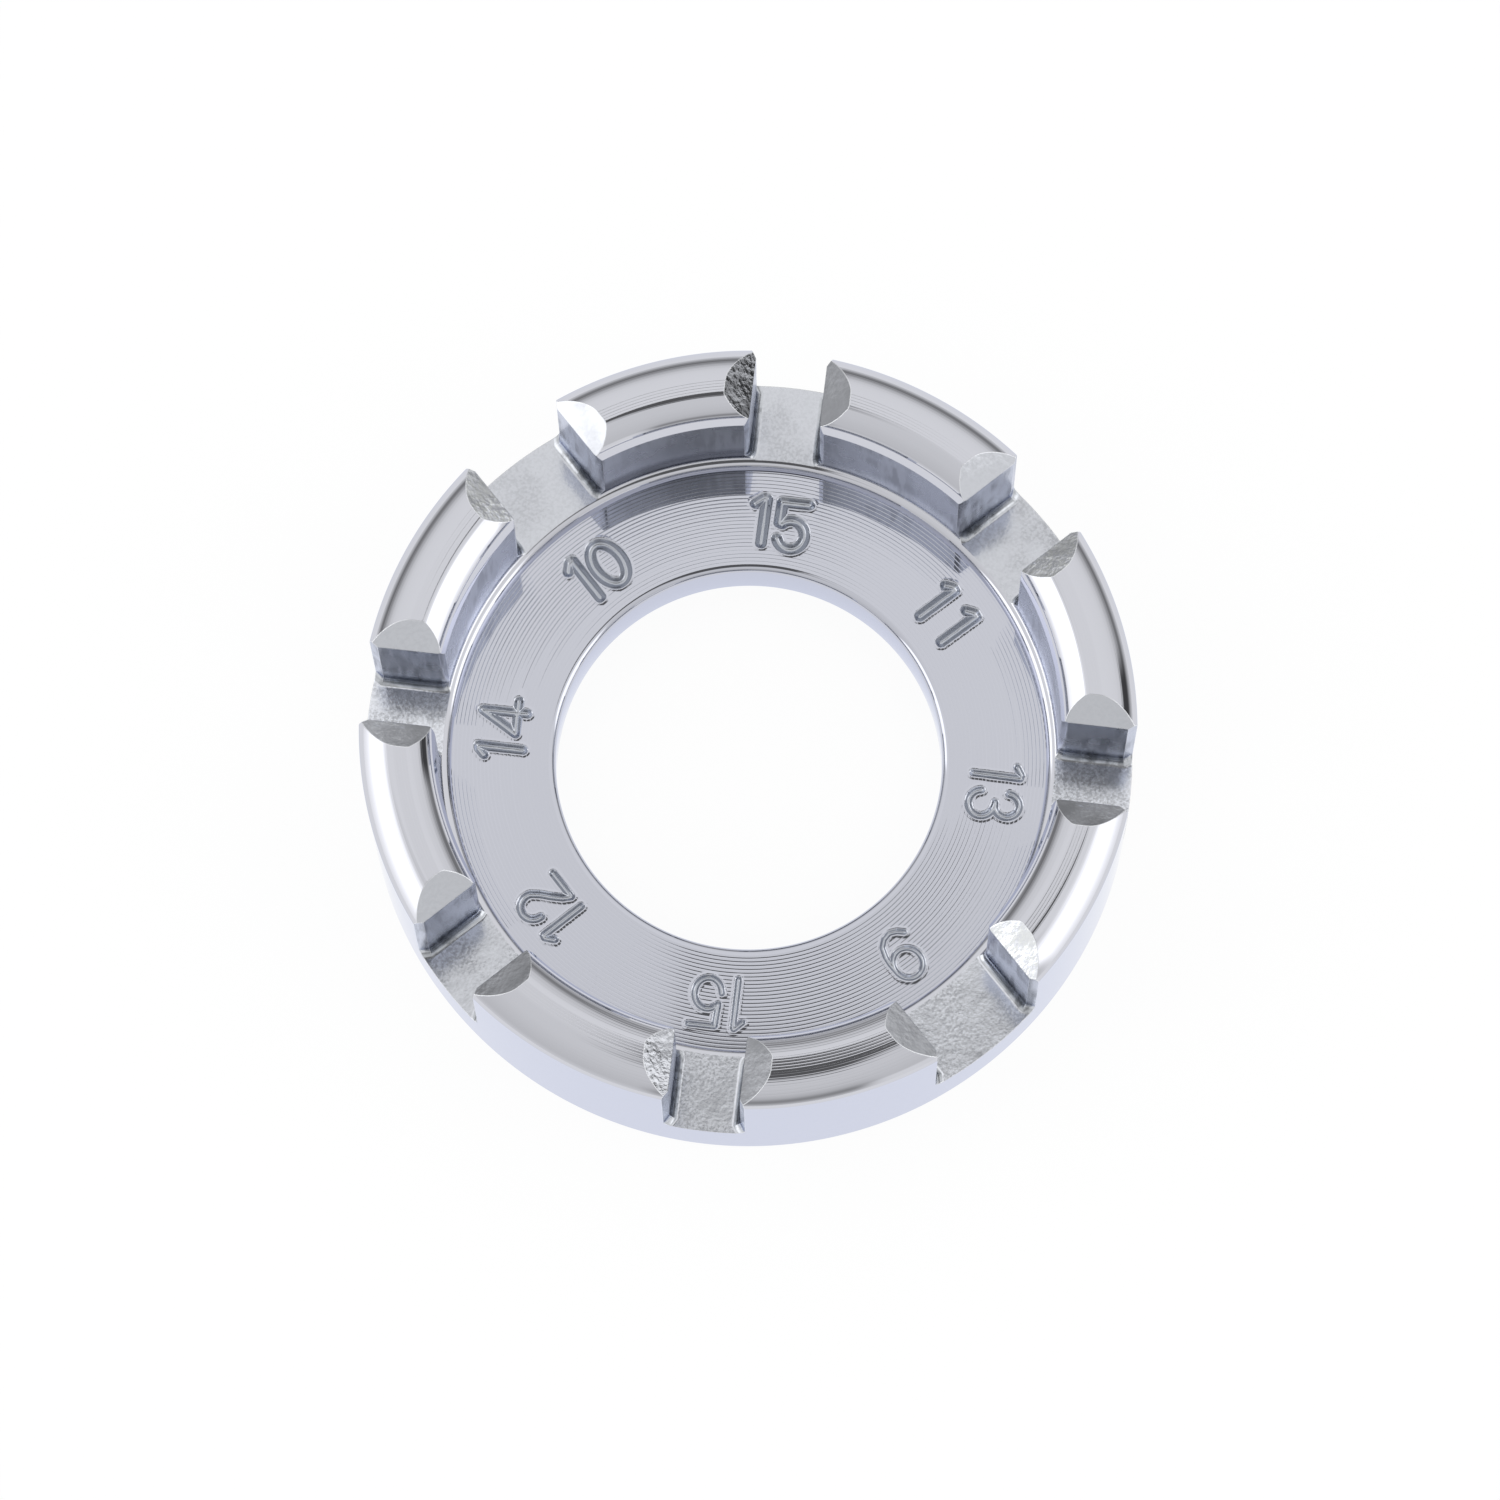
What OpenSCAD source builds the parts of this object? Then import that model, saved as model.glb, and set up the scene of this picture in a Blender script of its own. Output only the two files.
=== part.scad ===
// Round spoke wrench: one plated steel ring with eight nipple slots cut
// through its raised wall, a lower turned face inside the wall and a centre
// hole. Each slot is open at the top, inside and outside, and has a lead-in
// facet on both jaws. Millimetres. +Z is the ring's axis, away from the flat
// back, which lies on z = 0. +X runs out through the middle of the 11 slot.

/* [Ring] */
// Diameter over the outer wall
ring_diameter = 38; // [36.5:0.1:39.5]
// Height from the flat back to the top of the jaws
ring_height = 11.5; // [10.8:0.1:12.6]
// Thickness of the raised wall, measured along a radius
wall_thickness = 3.7; // [3.3:0.1:4]
// Rounding of the outer edge of the flat back
back_rounding = 0.5; // [0.3:0.05:0.8]

/* [Centre hole and turned face] */
// Diameter of the centre hole
bore_diameter = 19.2; // [18:0.1:20.4]
// Chamfer at both ends of the centre hole
bore_chamfer = 0.25; // [0.1:0.05:0.5]
// Height of the turned face above the back
face_height = 3.35; // [3:0.05:3.7]
// Width of the narrow ledge between the turned face and the wall
ledge_width = 0.35; // [0.3:0.05:0.6]
// Width of the sloping step from the turned face up to the ledge
step_width = 0.19; // [0.08:0.01:0.3]
// Fillet at the foot of the raised wall, on its inner side
foot_fillet = 0.2; // [0.1:0.05:0.3]

/* [Crown of the wall] */
// Width of the domed outer part of the crown
dome_width = 1.8; // [1.6:0.05:1.9]
// Radius of that dome
dome_radius = 2.2; // [2.1:0.05:2.6]
// Width of the slope on the inner side of the crown
slope_width = 0.9; // [0.7:0.05:1]
// Drop of that slope
slope_drop = 0.5; // [0.3:0.05:0.6]
// Width of the steep brow under the slope
brow_width = 0.4; // [0.25:0.05:0.5]
// Drop of that brow
brow_drop = 1; // [0.6:0.05:1.4]

/* [Nipple slots] */
// Height of the slot floors and of the ledge above the back
floor_height = 3.95; // [3.75:0.05:4.3]
// Width of the two slots marked 15
slot_15_width = 3.5; // [3.3:0.05:3.6]
// Width of the slot marked 14
slot_14_width = 3.65; // [3.45:0.05:3.8]
// Width of the slot marked 13
slot_13_width = 3.85; // [3.65:0.05:4]
// Width of the slot marked 12
slot_12_width = 4.15; // [4.1:0.05:4.3]
// Width of the slot marked 11
slot_11_width = 4.45; // [4.25:0.05:4.6]
// Width of the slot marked 10
slot_10_width = 5.1; // [4.9:0.05:5.3]
// Width of the slot marked 9
slot_9_width = 5.75; // [5.5:0.05:6]
// Fillet between a slot's floor and its jaws
slot_fillet = 0.5; // [0.3:0.05:0.6]

/* [Jaw edges] */
// Width of the lead-in facet on each jaw, measured across the slot
lead_in_width = 1.35; // [1.1:0.05:1.5]
// Depth of the lead-in facet below the crown
lead_in_depth = 0.85; // [0.7:0.05:1]
// Length of the outer corner's chamfer along the jaw
corner_length = 0.45; // [0.3:0.05:0.6]
// Width of the outer corner's chamfer along the outer wall
corner_width = 0.27; // [0.15:0.01:0.35]
// Rounding of the jaw's upright inner corner
inner_rounding = 0.4; // [0.25:0.05:0.5]

/* [Colour] */
// Colour of the plated steel
plate_colour = [0.80, 0.81, 0.85];

/* [Hidden] */
$fn = 128;

// How far a cutter runs past the face that it opens
overrun = 1;

ring_radius = ring_diameter / 2;
bore_radius = bore_diameter / 2;
jaw_inner_radius = ring_radius - wall_thickness;
ledge_radius = jaw_inner_radius - ledge_width;
face_radius = ledge_radius - step_width;
brow_radius = jaw_inner_radius + brow_width;
crease_radius = brow_radius + slope_width;
dome_edge = ring_radius - dome_width + dome_radius;
brow_height = ring_height - slope_drop;
lead_in_height = ring_height - lead_in_depth;

// Slot widths counter-clockwise from +X: 11, 15, 10, 14, 12, 15, 9, 13.
// The four widest ones lie on the axes.
slot_widths = [
    slot_11_width,
    slot_15_width,
    slot_10_width,
    slot_14_width,
    slot_12_width,
    slot_15_width,
    slot_9_width,
    slot_13_width
];
slot_step = 360 / len(slot_widths);

// Distance along a slot from the ring's axis to a circle of radius r,
// on the line that lies a distance y to the side of the slot's middle.
function reach(r, y) = sqrt(r * r - y * y);

// What is left of a square outer corner at the origin when it is rounded:
// the corner fills the quarter x > -r, y > -r.
module corner_waste(r) {
    difference() {
        translate([-r, -r])
            square(r + overrun);
        translate([-r, -r])
            circle(r = r);
    }
}

// Half section of the ring before the slots are cut: x is the radius and
// y the height. The back, the outer wall, the crown with its inner slope
// and brow, the inner wall, the ledge, the step, the face and the hole.
// The dome is the part of a quarter circle that lies inside the outer wall.
module ring_section() {
    difference() {
        polygon([
            [bore_radius + bore_chamfer, 0],
            [ring_radius, 0],
            [ring_radius, ring_height],
            [crease_radius, ring_height],
            [brow_radius, brow_height],
            [jaw_inner_radius, brow_height - brow_drop],
            [jaw_inner_radius, floor_height],
            [ledge_radius, floor_height],
            [face_radius, face_height],
            [bore_radius + bore_chamfer, face_height],
            [bore_radius, face_height - bore_chamfer],
            [bore_radius, bore_chamfer]
        ]);
        translate([dome_edge, ring_height])
            corner_waste(dome_radius);
        translate([ring_radius, 0])
            mirror([0, 1])
                corner_waste(back_rounding);
    }
    foot_section();
}

// Fillet at the foot of the inner wall, in the same half section
module foot_section() {
    translate([jaw_inner_radius - foot_fillet, floor_height + foot_fillet])
        difference() {
            translate([0, -foot_fillet - foot_fillet])
                square([foot_fillet + foot_fillet, foot_fillet + foot_fillet]);
            circle(r = foot_fillet);
        }
}

module ring_blank() {
    rotate_extrude()
        ring_section();
}

// Section across a slot: x is across the slot and y the height. Straight
// jaws stand on a floor with a fillet at each side, and the lead-in
// facets open it towards the crown.
module slot_section(width) {
    jaw = width / 2;
    mouth = jaw + lead_in_width * (lead_in_depth + overrun) / lead_in_depth;
    difference() {
        polygon([
            [-jaw, floor_height],
            [jaw, floor_height],
            [jaw, lead_in_height],
            [mouth, ring_height + overrun],
            [-mouth, ring_height + overrun],
            [-jaw, lead_in_height]
        ]);
        for (side = [0, 1])
            mirror([side, 0])
                translate([jaw, floor_height])
                    mirror([0, 1])
                        corner_waste(slot_fillet);
    }
}

// The slot itself, running out along +X from inside the wall
module slot_cut(width) {
    translate([bore_radius, 0, 0])
        rotate([90, 0, 90])
            linear_extrude(height = ring_radius - bore_radius + overrun)
                slot_section(width);
}

// Chamfer on the jaw's upright outer corner, on the +Y side of the slot
module outer_corner_cut(width) {
    jaw = width / 2;
    start = [reach(ring_radius, jaw) - corner_length, jaw];
    end = [reach(ring_radius, jaw + corner_width), jaw + corner_width];
    run = end - start;
    low = start - run;
    high = end + run;
    translate([0, 0, floor_height])
        linear_extrude(height = ring_height - floor_height + overrun)
            polygon([
                low,
                [high[0], low[1]],
                high
            ]);
}

// Rounding of the jaw's upright inner corner, on the +Y side of the slot.
// The circle touches both the jaw and the wall's inner face.
module inner_corner_cut(width) {
    jaw = width / 2;
    side = jaw + inner_rounding;
    centre = [reach(jaw_inner_radius + inner_rounding, side), side];
    inside = centre * (jaw_inner_radius - inner_rounding) / norm(centre);
    translate([0, 0, floor_height])
        linear_extrude(height = ring_height - floor_height + overrun)
            difference() {
                polygon([
                    [centre[0], jaw - inner_rounding],
                    centre,
                    inside,
                    [inside[0], jaw - inner_rounding]
                ]);
                translate(centre)
                    circle(r = inner_rounding);
            }
}

// Everything that is cut away for one slot, along +X
module slot_tool(width) {
    slot_cut(width);
    for (side = [0, 1])
        mirror([0, side, 0]) {
            outer_corner_cut(width);
            inner_corner_cut(width);
        }
}

// The whole wrench: one forged, turned, milled and plated ring
module wrench_ring() {
    color(plate_colour)
        difference() {
            ring_blank();
            for (i = [0 : len(slot_widths) - 1])
                rotate([0, 0, i * slot_step])
                    slot_tool(slot_widths[i]);
        }
}

wrench_ring();
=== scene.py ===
"""Dressed model and photo scene of a plated round spoke wrench.

Laid out as an add-on and run as a script. Sizes are in metres in the part's
own frame: +Z is the ring's axis, +X runs out through the 11 slot.
"""

import math

import bmesh
import bpy
import numpy as np
from mathutils import Matrix, Vector


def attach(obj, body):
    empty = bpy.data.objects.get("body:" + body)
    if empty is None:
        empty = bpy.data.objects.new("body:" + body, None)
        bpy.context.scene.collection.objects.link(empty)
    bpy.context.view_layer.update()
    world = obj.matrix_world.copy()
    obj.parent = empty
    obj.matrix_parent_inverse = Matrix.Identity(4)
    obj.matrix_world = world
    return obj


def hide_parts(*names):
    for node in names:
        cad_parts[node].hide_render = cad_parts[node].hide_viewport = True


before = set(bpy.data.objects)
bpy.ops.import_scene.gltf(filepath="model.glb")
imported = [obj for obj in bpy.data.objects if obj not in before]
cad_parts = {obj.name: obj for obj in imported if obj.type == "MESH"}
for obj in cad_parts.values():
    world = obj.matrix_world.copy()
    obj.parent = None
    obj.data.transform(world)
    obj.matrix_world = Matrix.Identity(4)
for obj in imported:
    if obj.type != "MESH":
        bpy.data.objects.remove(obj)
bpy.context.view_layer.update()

bl_info = {
    "name": "Round spoke wrench",
    "version": (1, 0, 0),
    "blender": (4, 5, 0),
    "location": "View3D > Sidebar > Spoke wrench",
    "description": "Builds the slotted wall, the turned face and the studio",
    "category": "Add Mesh",
}

NODE = "wrench_ring"
BODY = "root"
MM = 0.001

# Slots counter-clockwise from +X: name of the width property, and the label
# that is engraved on the turned face beside the slot.
SLOTS = (
    ("slot_11", "eleven"),
    ("slot_15", "fifteen_far"),
    ("slot_10", "ten"),
    ("slot_14", "fourteen"),
    ("slot_12", "twelve"),
    ("slot_15", "fifteen_near"),
    ("slot_9", "nine"),
    ("slot_13", "thirteen"),
)
SLOT_STEP = math.tau / len(SLOTS)

# Painted brightness of each slot's two facets, the counter-clockwise one first, then of its floor:
# painted light, each one lighter or darker to match how it catches the light. With it, the
# roughness of each as forged and plated
SLOT_PAINTED_LIGHT_AND_ROUGHNESS = (
    ((1.2, 0.3), (1.58, 0.7), (1.03, 0.5)),
    ((0.4, 1.3), (0.73, 0.15), (1.04, 0.2)),
    ((1.58, 0.6), (1.0, 0.05), (1.04, 0.1)),
    ((1.5, 0.4), (1.05, 0.0), (1.35, 1.0)),
    ((1.15, 0.5), (1.02, 0.0), (1.13, 1.0)),
    ((0.66, 0.15), (0.78, 0.7), (1.26, 0.7)),
    ((1.6, 0.4), (1.32, 0.3), (1.36, 0.7)),
    ((1.0, 0.0), (1.1, 0.4), (1.38, 1.0)),
)

# Material slots of the wall after the first one, which is the crown's
JAW, FACET, FLOOR, INNER = range(1, 5)

# Metres within which two places count as the same
TOUCH = 1e-7


# Sizes and colours


def length(name, text, value):
    """A length property, stored in metres."""
    return bpy.props.FloatProperty(
        name=name, description=text, default=value, subtype="DISTANCE", unit="LENGTH", precision=5
    )


def turn(name, text, degrees):
    """An angle property, given in degrees and stored in radians."""
    return bpy.props.FloatProperty(
        name=name, description=text, default=math.radians(degrees), subtype="ANGLE"
    )


def ratio(name, text, value):
    """A property from 0 to 1."""
    return bpy.props.FloatProperty(
        name=name, description=text, default=value, min=0.0, max=1.0, subtype="FACTOR"
    )


def tint(name, text, value):
    """A linear colour property."""
    return bpy.props.FloatVectorProperty(
        name=name,
        description=text,
        default=(*value, 1.0),
        size=4,
        min=0.0,
        max=1.0,
        subtype="COLOR",
    )


class WallSizes(bpy.types.PropertyGroup):
    """Sizes of the raised wall and its slots."""

    ring_radius: length("Ring radius", "Radius of the outer wall", 0.019)
    ring_height: length("Ring height", "Height from the back to the crown", 0.0115)
    inner_radius: length("Wall's inner radius", "Radius of the jaws' inner side", 0.0153)
    shoulder_width: length("Shoulder width", "Width of the crown's rounded outer side", 0.0018)
    shoulder_radius: length("Shoulder radius", "Radius of that rounding", 0.0022)
    crease_radius: length("Crease radius", "Where the flat crown ends", 0.01656)
    slope_radius: length("Slope radius", "Where the inner slope steepens", 0.01602)
    slope_height: length("Slope height", "Height where the inner slope steepens", 0.011233)
    brow_radius: length("Brow radius", "Where the steeper brow starts", 0.01562)
    brow_height: length("Brow height", "Height where the brow starts", 0.01093)
    lip_radius: length("Lip radius", "Where the brow turns down", 0.01547)
    lip_height: length("Lip height", "Height where the brow turns down", 0.01069)
    wall_top: length("Inner wall's top", "Height where the inner wall turns upright", 0.01005)
    ledge_radius: length("Ledge radius", "Inner radius of the ledge", 0.01486)
    face_radius: length("Face radius", "Outer radius of the turned face", 0.01476)
    face_height: length("Face height", "Height of the turned face", 0.00335)
    floor_height: length("Floor height", "Height of the slot floors", 0.00395)
    slot_9: length("Slot 9", "Width of the slot marked 9", 0.00575)
    slot_10: length("Slot 10", "Width of the slot marked 10", 0.0051)
    slot_11: length("Slot 11", "Width of the slot marked 11", 0.00445)
    slot_12: length("Slot 12", "Width of the slot marked 12", 0.00415)
    slot_13: length("Slot 13", "Width of the slot marked 13", 0.00385)
    slot_14: length("Slot 14", "Width of the slot marked 14", 0.00365)
    slot_15: length("Slot 15", "Width of the two slots marked 15", 0.0035)
    slot_fillet: length("Slot fillet", "Fillet between floor and jaws", 0.0006)
    lead_width: length("Lead-in width", "Width of the lead-in facet", 0.00135)
    lead_depth: length("Lead-in depth", "Depth of the lead-in facet", 0.00085)
    groove_pitch: length("Crown groove pitch", "Turning feed on the crown", 0.000146)
    groove_depth: length("Crown groove depth", "Depth of a crown groove", 0.0000008)


class FaceSizes(bpy.types.PropertyGroup):
    """Sizes of the turned face, the centre hole and the numbers."""

    bore_radius: length("Bore radius", "Radius of the centre hole", 0.0096)
    bore_rounding: length("Bore rounding", "Rounding of the centre hole's edge", 0.00033)
    groove_pitch: length("Groove pitch", "Turning feed on the face", 0.00019)
    groove_depth: length("Groove depth", "Depth of a turned groove", 0.0000018)
    burr_height: length("Burr height", "Height of the burr beside a stroke", 0.000012)


class Finishes(bpy.types.PropertyGroup):
    """Colours and roughness of the plating, and the stage's colour."""

    plating: tint("Plating", "Bright chrome on the wall", (0.63, 0.637, 0.685))
    face_plating: tint("Face plating", "Chrome on the turned face", (0.585, 0.597, 0.66))
    jaw_plating: tint("Jaw plating", "Duller chrome on jaws and inner wall", (0.53, 0.548, 0.58))
    floor_plating: tint("Floor plating", "Chrome on floors and facets", (0.6, 0.615, 0.655))
    stroke_plating: tint("Stroke plating", "Chrome inside the numbers", (0.5, 0.52, 0.565))
    edge_tint: tint("Edge tint", "Tint of the reflection at grazing angles", (0.84, 0.87, 0.98))
    backdrop: tint("Backdrop", "Floor and backdrop", (1.0, 1.0, 1.0))
    plating_roughness: ratio("Plating roughness", "Of the bright plating", 0.03)
    stroke_roughness: ratio("Stroke roughness", "Inside the numbers", 0.2)
    edge_softness: length("Edge softness", "How far plating rounds the sharp edges", 0.00006)
    # Strength of the painted highlight along the edges
    painted_edge_highlight_share: ratio("Edge brightness", "How much the edges take the worn look", 0.75)
    edge_roughness: ratio("Edge roughness", "Of the plating along its edges", 0.3)
    # Colour of the painted highlight along the edges
    painted_edge_highlight: tint("Painted edge highlight", "Chrome along the edges", (0.93, 0.945, 0.97))


class StageSizes(bpy.types.PropertyGroup):
    """Where the camera stands."""

    distance: length("Distance", "From the lens to the point aimed at", 0.418871)
    azimuth: turn("Azimuth", "Of the camera round the ring", -37.052)
    elevation: turn("Elevation", "Of the camera over the floor", 77.127)
    roll: turn("Roll", "Of the camera", 1.332)
    lens: bpy.props.FloatProperty(
        name="Lens", description="Focal length", default=201.0, subtype="DISTANCE_CAMERA"
    )


# Meshes


def closed_section(bm, corners):
    """A face in the XZ plane through these (radius, height) corners."""
    points = [bm.verts.new((r, 0.0, z)) for r, z in corners]
    bm.faces.new(points)
    return points


def rounded(bm, geom, offset, segments, affect="VERTICES", clamp=True):
    """Rounds corners of a flat face, or edges."""
    bmesh.ops.bevel(
        bm,
        geom=geom,
        offset=offset,
        offset_type="OFFSET",
        segments=segments,
        profile=0.5,
        affect=affect,
        material=-1,
        clamp_overlap=clamp,
    )


def level_edge(bm, r_low, r_high, height):
    """The longest edge of the section at this height, between two radii."""
    best = None
    for edge in bm.edges:
        if all(r_low <= v.co.x <= r_high and abs(v.co.z - height) <= TOUCH for v in edge.verts):
            if best is None or edge.calc_length() > best.calc_length():
                best = edge
    if best is None:
        raise RuntimeError("no such edge in the section")
    return best


def spin_section(bm, steps):
    """Turns the section's outline into a closed ring round Z."""
    bmesh.ops.delete(bm, geom=bm.faces[:], context="FACES_ONLY")
    bmesh.ops.spin(
        bm,
        geom=bm.verts[:] + bm.edges[:],
        cent=(0.0, 0.0, 0.0),
        axis=(0.0, 0.0, 1.0),
        angle=math.tau,
        steps=steps,
        use_merge=True,
    )
    bmesh.ops.remove_doubles(bm, verts=bm.verts[:], dist=1e-8)
    bmesh.ops.recalc_face_normals(bm, faces=bm.faces[:])


def new_object(name, bm):
    """A new object in the scene from a bmesh."""
    mesh = bpy.data.meshes.new(name)
    bm.to_mesh(mesh)
    bm.free()
    piece = bpy.data.objects.new(name, mesh)
    bpy.context.scene.collection.objects.link(piece)
    return piece


def finish_piece(piece):
    """Attaches a finished piece to the body in place of the imported ring, which it hides."""
    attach(piece, BODY)
    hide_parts(NODE)


def apply_modifiers(piece):
    """Keeps the evaluated mesh in place of the modifiers."""
    graph = bpy.context.evaluated_depsgraph_get()
    mesh = bpy.data.meshes.new_from_object(piece.evaluated_get(graph), depsgraph=graph)
    old = piece.data
    piece.modifiers.clear()
    piece.data = mesh
    bpy.data.meshes.remove(old)


def shade_smooth(mesh, sharp_degrees):
    """Smooth shading, with edges steeper than this kept sharp."""
    mesh.polygons.foreach_set("use_smooth", [True] * len(mesh.polygons))
    mesh.set_sharp_from_angle(angle=math.radians(sharp_degrees))


def turned(bm, verts, angle):
    """Turns the vertices round the ring's axis."""
    bmesh.ops.rotate(bm, verts=verts, cent=(0.0, 0.0, 0.0), matrix=Matrix.Rotation(angle, 3, "Z"))


def raised_face(bm, face, way):
    """Makes a flat face into a block and returns the verts at its far end."""
    made = bmesh.ops.extrude_face_region(bm, geom=[face])
    far = [g for g in made["geom"] if isinstance(g, bmesh.types.BMVert)]
    bmesh.ops.translate(bm, verts=far, vec=way)
    return far


# Wall and slots

CORNER_LENGTH = 0.45 * MM  # chamfer of a jaw's outer corner, along the jaw
CORNER_WIDTH = 0.27 * MM  # the same chamfer, along the outer wall
INNER_ROUNDING = 0.36 * MM  # rounding of a jaw's inner corner
FLARE_DEGREES = 3.6  # how far a channel widens inside the wall
FLARE_START = 0.09 * MM  # inside the wall's inner side, where it has widened
FLARE_END = 0.6 * MM  # inside the wall's inner side, where the channel ends
FILLET_END = 0.75 * MM  # inside the wall's inner side, where floor fillets end
FLOOR_LIFT = 0.005 * MM  # of the slot floors over the ledge
MOUTH_DIP = 0.3 * MM  # how far the facets' cutter goes on into the slot
MOUTH_RISE = 2.2 * MM  # how far it goes out to either side
MOUTH_START = 2 * MM  # inside the wall's inner side, where it starts
MOUTH_LENGTH = 6 * MM  # of it along the slot
FLOOR_NORMAL = 0.98  # upright share of a floor's normal, at the least
WALL_STEPS = 480  # facets round the wall
CROWN_CUTS = 15  # rings on the flat crown
FEWEST_FACES = 10000  # of the wall, once its slots are cut


def reach(radius, side):
    """Distance out along a slot to a circle, at a distance to one side."""
    return math.sqrt(radius * radius - side * side)


def slot_channel(bm, sizes, width, angle):
    """Cutter for one slot's floor and jaws, with its fillets and corners."""
    half = width / 2
    ring, wall = sizes.ring_radius, sizes.inner_radius
    lip = reach(ring, half) - CORNER_LENGTH
    flare_x, flare_y = reach(ring, half + CORNER_WIDTH) - lip, CORNER_WIDTH
    inner = math.atan2(half, reach(wall, half))
    past = inner + math.radians(FLARE_DEGREES)
    outline = [
        (lip + 4 * flare_x, half + 4 * flare_y),
        (lip, half),
        (reach(wall, half), half),
        (math.cos(past) * (wall - FLARE_START), math.sin(past) * (wall - FLARE_START)),
        (math.cos(past) * (wall - FLARE_END), math.sin(past) * (wall - FLARE_END)),
    ]
    outline += [(x, -y) for x, y in reversed(outline)]
    floor = sizes.floor_height + FLOOR_LIFT
    points = [bm.verts.new((x, y, floor)) for x, y in outline]
    bm.faces.new(points)
    before = set(bm.verts) - set(points)
    rounded(bm, [points[2], points[-3]], INNER_ROUNDING, 8, clamp=False)
    base = next(f for f in bm.faces if not before.intersection(f.verts))
    raised_face(bm, base, (0.0, 0.0, sizes.ring_height + MM - floor))
    jaws = []
    for edge in base.edges:
        a, b = edge.verts[0].co, edge.verts[1].co
        across = abs(a.y + b.y) < TOUCH
        if not across and (a.x + b.x) / 2 > wall - FILLET_END:
            jaws.append(edge)
    rounded(bm, jaws, sizes.slot_fillet, 7, affect="EDGES")
    turned(bm, [v for v in bm.verts if v not in before], angle)


def slot_mouth(bm, sizes, width, angle):
    """Cutter for the two lead-in facets of one slot."""
    half = width / 2
    slope = sizes.lead_depth / sizes.lead_width
    low = sizes.ring_height - sizes.lead_depth
    section = [
        (half - MOUTH_DIP, low - MOUTH_DIP * slope),
        (half + MOUTH_RISE, low + MOUTH_RISE * slope),
        (-half - MOUTH_RISE, low + MOUTH_RISE * slope),
        (-half + MOUTH_DIP, low - MOUTH_DIP * slope),
    ]
    start = sizes.inner_radius - MOUTH_START
    points = [bm.verts.new((start, y, z)) for y, z in section]
    far = raised_face(bm, bm.faces.new(points), (MOUTH_LENGTH, 0.0, 0.0))
    for f in {f for v in points + far for f in v.link_faces}:
        f.material_index = FACET
    turned(bm, points + far, angle)


def slot_cutter(sizes):
    """All eight slots as one cutter, its faces marked for their finishes."""
    bm = bmesh.new()
    for i, (key, _label) in enumerate(SLOTS):
        slot_channel(bm, sizes, getattr(sizes, key), i * SLOT_STEP)
    bm.normal_update()
    for f in bm.faces:
        f.material_index = FLOOR if abs(f.normal.z) > FLOOR_NORMAL else JAW
    for i, (key, _label) in enumerate(SLOTS):
        slot_mouth(bm, sizes, getattr(sizes, key), i * SLOT_STEP)
    bmesh.ops.recalc_face_normals(bm, faces=bm.faces[:])
    return new_object("slot_cutters", bm)


def wall_blank(sizes):
    """The raised wall before its slots are cut."""
    s = sizes
    bend = math.asin(s.shoulder_width / s.shoulder_radius)
    tangent = s.shoulder_radius * math.tan(bend / 2)
    section = {
        "back": (s.face_radius, 0.0),
        "back edge": (s.ring_radius, 0.0),
        "shoulder foot": (s.ring_radius, s.ring_height - tangent * math.sin(bend)),
        "shoulder": (s.ring_radius - tangent * math.cos(bend), s.ring_height),
        "crease": (s.crease_radius, s.ring_height),
        "slope": (s.slope_radius, s.slope_height),
        "brow": (s.brow_radius, s.brow_height),
        "lip": (s.lip_radius, s.lip_height),
        "wall top": (s.inner_radius, s.wall_top),
        "wall foot": (s.inner_radius, s.floor_height),
        "ledge": (s.ledge_radius, s.floor_height),
        "step": (s.face_radius, s.face_height),
    }
    bm = bmesh.new()
    corners = dict(zip(section, closed_section(bm, section.values())))
    # Corner, rounding in millimetres and segments
    for corner, size, segments in (
        ("back edge", 0.5, 6),
        ("shoulder", tangent * 0.93 / MM, 20),
        ("shoulder foot", 0.07, 3),
        ("crease", 0.15, 6),
        ("slope", 0.18, 5),
        ("brow", 0.16, 5),
        ("lip", 0.2, 6),
        ("wall foot", 0.17, 6),
        ("ledge", 0.27, 8),
    ):
        rounded(bm, [corners[corner]], size * MM, segments)
    top = level_edge(bm, s.crease_radius, s.ring_radius, s.ring_height)
    bmesh.ops.subdivide_edges(bm, edges=[top], cuts=CROWN_CUTS)
    spin_section(bm, WALL_STEPS)
    for f in bm.faces:
        middle = f.calc_center_median()
        inside = math.hypot(middle.x, middle.y) < s.inner_radius + 0.02 * MM
        if inside and middle.z > s.floor_height + 0.1 * MM:
            f.material_index = INNER
    return new_object("slotted_wall", bm)


def mark_painted_light_and_roughness(mesh):
    """Writes the painted brightness (painted light) and the roughness of each facet and slot
    floor.
    """
    painted_brightness, rough = [], []
    for polygon in mesh.polygons:
        middle = polygon.center
        place = math.atan2(middle.y, middle.x) / SLOT_STEP
        slot = round(place)
        left, right, bare = SLOT_PAINTED_LIGHT_AND_ROUGHNESS[slot % len(SLOT_PAINTED_LIGHT_AND_ROUGHNESS)]
        finish = bare
        if polygon.material_index == FACET:
            finish = left if place > slot else right
        painted_brightness.append(finish[0])
        rough.append(finish[1])
    for name, values in (("painted_brightness", painted_brightness), ("rough", rough)):
        mesh.attributes.new(name, "FLOAT", "FACE").data.foreach_set("value", values)


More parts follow.
